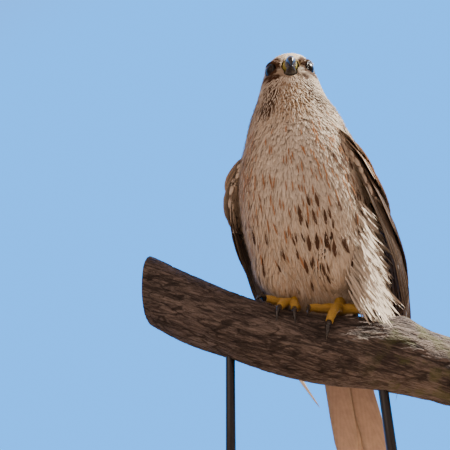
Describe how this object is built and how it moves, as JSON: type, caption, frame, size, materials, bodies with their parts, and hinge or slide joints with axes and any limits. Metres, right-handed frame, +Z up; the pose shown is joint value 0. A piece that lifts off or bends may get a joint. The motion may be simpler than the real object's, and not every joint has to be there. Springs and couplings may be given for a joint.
{
  "type": "red tailed hawk",
  "caption": "Red-tailed hawk, still and life-size, perched upright on a cut length of branch that plain rods hold over a flat base.",
  "frame": {"origin": "centre of the flat underside of the stand's base", "axes": "+Z up, the perch runs along X, and the hawk looks towards -Y, with its body turned a little to -X"},
  "size_m": [0.335, 0.25, 0.582],
  "materials": {
    "base_wood": "satin lacquered light wood",
    "rod_metal": "satin black",
    "bark": "rough grey-brown bark",
    "eye": "wet, dark brown",
    "bill": "smooth horn",
    "cere": "soft bare skin",
    "claw": "smooth horn",
    "foot_skin": "scaled bare skin",
    "wing_feather": "matt feathers, brown with pale edges",
    "tail_feather": "matt feathers, rufous with a dark band",
    "body_feather": "soft matt feathers, cream with brown streaks"
  },
  "bodies": {
    "root": {"bill_lower": "bill", "bill_upper": "bill", "cere": "cere", "claw_left_hind": "claw", "claw_left_inner": "claw", "claw_left_middle": "claw", "claw_left_outer": "claw", "claw_right_hind": "claw", "claw_right_inner": "claw", "claw_right_middle": "claw", "claw_right_outer": "claw", "eye_left": "eye", "eye_right": "eye", "foot_left": "foot_skin", "foot_right": "foot_skin", "head": "body_feather", "neck": "body_feather", "perch": "bark", "stand_base": "base_wood", "stand_rod_left": "rod_metal", "stand_rod_right": "rod_metal", "tail": "tail_feather", "thigh_left": "body_feather", "thigh_right": "body_feather", "toe_left_hind": "foot_skin", "toe_left_inner": "foot_skin", "toe_left_middle": "foot_skin", "toe_left_outer": "foot_skin", "toe_right_hind": "foot_skin", "toe_right_inner": "foot_skin", "toe_right_middle": "foot_skin", "toe_right_outer": "foot_skin", "torso": "body_feather", "wing_left": "wing_feather", "wing_right": "wing_feather"}
  },
  "joints": []
}
